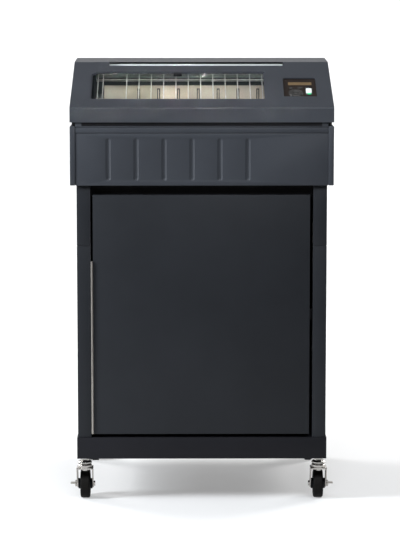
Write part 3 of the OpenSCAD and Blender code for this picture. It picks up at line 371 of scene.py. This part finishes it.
EDGES = {
    "hood_shell": 0.9, "base_front_panel": 0.7, "left_end_panel": 2.4, "right_end_panel": 2.4,
    "base_rear_panel": 0.5, "door_panel": 0.9, "plinth": 0.8, "left_side_panel": 0.6,
    "right_side_panel": 0.6, "upper_left_panel": 0.5, "upper_right_panel": 0.5, "rear_panel": 0.4,
    "control_bezel": 0.4, "online_key": 0.7, "nav_ring": 0.7, "enter_key": 0.6, "left_key": 0.5,
    "right_key": 0.5, "stop_key": 0.7, "left_brake": 1.2, "right_brake": 1.2, "shuttle": 0.6,
    "platen": 0.6, "platen_lever": 1.0, "left_tractor": 0.8, "right_tractor": 0.8, "left_gate": 0.6,
    "right_gate": 0.6, "feed_motor": 1.5, "card_cage": 0.8, "power_inlet": 0.4, "power_switch": 0.5,
    "interface_panel": 0.3, "slot_lip": 0.4, "guide_bar": 0.4, "drive_shaft": 0.5, "door_catch": 0.8,
    "front_left_fork": 0.5, "front_right_fork": 0.5, "rear_left_fork": 0.5, "rear_right_fork": 0.5,
    "left_spool": 0.3, "right_spool": 0.3, "left_side_frame": 0.4, "right_side_frame": 0.4,
}
slot_of = {entry["node"]: entry["material_slot"] for entry in frame["record"]["subparts"]}


def finish_node(name, material):
    obj = nodes[name]
    obj.data.materials.clear()
    obj.data.materials.append(material)
    soften(obj, EDGES.get(name, 0.0))


for name in nodes:
    finish_node(name, MATERIALS[slot_of[name]])
nodes["online_key"].data.materials[0] = LIT_KEY
nodes["wire_guard"].data.materials[0] = WIRE_CHROME
nodes["support_rods"].data.materials[0] = WIRE_CHROME
nodes["guide_bar"].data.materials[0] = BAR_STEEL
nodes["plinth"].data.materials[0] = plinth_finish("plinth_and_cups")
for name in ("front_left", "front_right", "rear_left", "rear_right"):
    low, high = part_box(name + "_wheel")
    center = tuple((a + b) / 2 for a, b in zip(low, high))
    nodes[name + "_wheel"].data.materials[0] = wheel_finish(name + "_rubber", center)


# Trim pieces.

def slope_matrix(x, s, n=0.0):
    """Place on the hood's front slope: x across, s up the slope, n out of it, in millimetres."""
    corner = Matrix.Translation(Vector((0, FRONT_Y, CREASE_Z)) * MM)
    shift = Matrix.Translation(Vector((x, s, n)) * MM)
    return corner @ Matrix.Rotation(SLOPE, 4, "X") @ shift


def new_mesh(name, bm, body, material, edge=0.0):
    mesh = bpy.data.meshes.new(name)
    bm.normal_update()
    bm.to_mesh(mesh)
    bm.free()
    obj = bpy.data.objects.new(name, mesh)
    bpy.context.scene.collection.objects.link(obj)
    mesh.materials.append(material)
    soften(obj, edge, weld=False)
    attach(obj, body)
    return obj


def add_box(bm, low, high, matrix=Matrix()):
    size = [(b - a) * MM for a, b in zip(low, high)]
    middle = Vector([(a + b) / 2 * MM for a, b in zip(low, high)])
    place = matrix @ Matrix.Translation(middle) @ Matrix.Diagonal((*size, 1))
    bmesh.ops.create_cube(bm, size=1.0, matrix=place)


def add_disc(bm, radius, height, matrix, sides, top=None):
    bmesh.ops.create_cone(bm, cap_ends=True, segments=sides, radius1=radius * MM,
                          radius2=(top or radius) * MM, depth=height * MM,
                          matrix=matrix @ Matrix.Translation((0, 0, height * MM / 2)))


def window_clip():
    """Black catch at the window's upper edge, with a finger lip."""
    bm = bmesh.new()
    place = slope_matrix(-63.5, 205)
    add_box(bm, (-11, -11, -6.5), (11, -0.2, -0.2), place)
    add_box(bm, (-7, -13, -3.5), (7, -9, -1), place)
    new_mesh("window_clip", bm, "hood", MATERIALS["black_plastic"], 0.6)


def status_lens():
    """Half-round green lens under the lit key."""
    bm = bmesh.new()
    place = slope_matrix(284, 84.5, -3)
    ring = [(-5.4, 1.6), (5.4, 1.6), (5.0, -1.4), (3.0, -3.4), (-3.0, -3.4), (-5.0, -1.4)]
    top = [bm.verts.new(place @ Vector((x * MM, s * MM, 0.9 * MM))) for x, s in ring]
    foot = [bm.verts.new(place @ Vector((x * MM, s * MM, -0.2 * MM))) for x, s in ring]
    bm.faces.new(top[::-1])
    bm.faces.new(foot)
    for i in range(len(ring)):
        j = (i + 1) % len(ring)
        bm.faces.new((top[i], top[j], foot[j], foot[i]))
    bmesh.ops.recalc_face_normals(bm, faces=bm.faces)
    new_mesh("status_lens", bm, "hood", GREEN_LENS, 0.3)


def facing_back(x, y, z):
    """Frame on a rear face, +Z pointing to the back."""
    return Matrix.Translation(Vector((x, y, z)) * MM) @ Matrix.Rotation(-math.pi / 2, 4, "X")


def screw_heads(name, across, y, up, radius):
    """Pan-head screws on the rear, one mesh: a straight rim under a tapered crown."""
    rim, crown, top, sides = radius * 0.25, radius * 0.30, radius * 0.62, 20
    bm = bmesh.new()
    for x in across:
        for z in up:
            place = facing_back(x, y, z)
            add_disc(bm, radius, rim, place, sides)
            add_disc(bm, radius, crown, place @ Matrix.Translation((0, 0, rim * MM)), sides, top)
    new_mesh(name, bm, "cabinet", MATERIALS["plated_steel"], 0.12)


def louvre_hood(bm, x, z):
    """One hood: a quarter round that closes to the panel at both ends."""
    rings = []
    for end in (-LOUVRE_HALF, LOUVRE_CAP - LOUVRE_HALF, LOUVRE_HALF - LOUVRE_CAP, LOUVRE_HALF):
        reach = 0.02 if abs(end) == LOUVRE_HALF else 1.0
        ring = []
        for i in range(LOUVRE_STEPS + 1):
            a = math.pi / 2 * i / LOUVRE_STEPS
            y = CAB_BACK + 0.05 + LOUVRE_OUT * math.sin(a) * reach
            edge = z + LOUVRE_TOP - LOUVRE_DROP * (1 - math.cos(a))
            ring.append(bm.verts.new(Vector((x + end, y, edge)) * MM))
        rings.append(ring)
    for a, b in zip(rings, rings[1:]):
        for i in range(LOUVRE_STEPS):
            bm.faces.new((a[i], b[i], b[i + 1], a[i + 1]))


def louvre_hoods():
    """Pressed hoods over the air slots of the cabinet's rear panel."""
    bm = bmesh.new()
    for side in (-1, 1):
        for low in LOUVRE_Z:
            for row in range(LOUVRE_ROWS):
                louvre_hood(bm, side * LOUVRE_X, low + row * LOUVRE_PITCH)
    bmesh.ops.recalc_face_normals(bm, faces=bm.faces)
    obj = new_mesh("louvre_hoods", bm, "cabinet", MATERIALS["cabinet_paint"])
    shell = obj.modifiers.new("shell", "SOLIDIFY")
    shell.thickness = LOUVRE_SHEET * MM
    shell.offset = 0


def hood_gap_painted_shade():
    """Thin dark strip in the gap under the hood's front edge: painted shade, a dark sheet standing
    for the shadow in that gap.
    """
    bm = bmesh.new()
    add_box(bm, (-314, -305.1, 1002.5), (314, -304.85, 1012))
    new_mesh("hood_gap_painted_shade", bm, "cabinet", MATERIALS["black_plastic"])


def slot_painted_shade():
    """Black strip in the shallow pocket over the pale strip in the exit slot: painted shade, a dark
    sheet standing for the shadow in that pocket.
    """
    bm = bmesh.new()
    add_box(bm, (-247, -60.0, 1154.8), (219, -59.15, 1160.0))
    new_mesh("slot_painted_shade", bm, "hood", PAINTED_SHADE)


window_clip()
status_lens()
hood_gap_painted_shade()
slot_painted_shade()
louvre_hoods()
for row in SCREWS:
    screw_heads(*row)


# Floor, light and camera.

def backdrop():
    """Seamless pale floor that rises into a wall far behind."""
    profile = [(FLOOR_FRONT, 0.0), (WALL_START, 0.0)]
    for i in range(1, WALL_STEPS + 1):
        a = math.pi / 2 * i / WALL_STEPS
        profile.append((WALL_START + WALL_R * math.sin(a), WALL_R * (1 - math.cos(a))))
    bm = bmesh.new()
    rows = [[bm.verts.new((x, y, z)) for x in (-FLOOR_HALF, FLOOR_HALF)] for y, z in profile]
    for a, b in zip(rows, rows[1:]):
        bm.faces.new((a[0], a[1], b[1], b[0]))
    mesh = bpy.data.meshes.new("backdrop")
    bm.to_mesh(mesh)
    bm.free()
    obj = bpy.data.objects.new("backdrop", mesh)
    bpy.context.scene.collection.objects.link(obj)
    for face in mesh.polygons:
        face.use_smooth = True
    f = Finish("pale_floor", FLOOR_TONE, 0.6)
    f.shader.inputs["Specular IOR Level"].default_value = 0.06
    low, high = tones(FLOOR_TONE, 0.01)
    f.color(f.ramp(f.noise(0.8, 2.0, 0.5), [(0.3, low), (0.7, high)]))
    f.shader.inputs["Emission Color"].default_value = (*WHITE, 1.0)
    f.shader.inputs["Emission Strength"].default_value = FLOOR_GLOW
    mesh.materials.append(f.mat)


def area_light(name, place, target, size, power, color=WHITE, spread=180.0):
    """Soft panel at place turned to target, in metres and watts; spread in degrees."""
    data = bpy.data.lights.new(name, "AREA")
    data.spread = math.radians(spread)
    data.shape = "RECTANGLE"
    data.size, data.size_y = size
    data.energy = power
    data.color = color
    obj = bpy.data.objects.new(name, data)
    obj.location = place
    obj.rotation_euler = (Vector(target) - Vector(place)).to_track_quat("-Z", "Y").to_euler()
    obj.visible_camera = False
    bpy.context.scene.collection.objects.link(obj)


backdrop()
area_light("key_front", (0.5, -2.4, 2.6), (0.0, -0.2, 0.8), (1.6, 0.9), 68.0, COOL)
area_light("strip_left", (-3.5, -1.4, 2.0), (0.0, -0.3, 0.95), (0.8, 1.5), 270.0, (0.92, 0.96, 1.0))
area_light("top_soft", (0.7, -0.3, 4.6), (0.0, 0.0, 0.0), (2.4, 2.0), 35.0)
area_light("back_glow", (0.0, 5.9, 2.8), (0.0, 0.0, 2.8), (12.0, 1.6), 66.0)
area_light("window_beam", (-0.10, -4.0, 1.47), (-0.10, -0.2, 1.1), (0.66, 0.05), 0.27, spread=3.0)
for side in (-1, 1):
    area_light(f"wash_{side}", (3.4 * side, 2.2, 2.6), (0.0, 4.4, 0.6), (3.0, 1.6), 250.0)

world = bpy.data.worlds.new("studio")
bpy.context.scene.world = world
world.use_nodes = True
world.node_tree.nodes["Background"].inputs["Color"].default_value = (*WHITE, 1.0)
world.node_tree.nodes["Background"].inputs["Strength"].default_value = WORLD_LIGHT
bpy.context.scene.view_settings.view_transform = "Standard"
bpy.context.scene.view_settings.look = "None"

lens = bpy.data.cameras.new("camera")
lens.sensor_fit = "HORIZONTAL"
lens.sensor_width = SENSOR
lens.lens = FOCAL_PX / PHOTO_W * SENSOR
lens.clip_end = 60.0
camera = bpy.data.objects.new("camera", lens)
camera.location = CAMERA_AT
camera.rotation_euler = (math.pi / 2 - CAMERA_DOWN, 0.0, CAMERA_TURN)
bpy.context.scene.collection.objects.link(camera)
bpy.context.scene.camera = camera
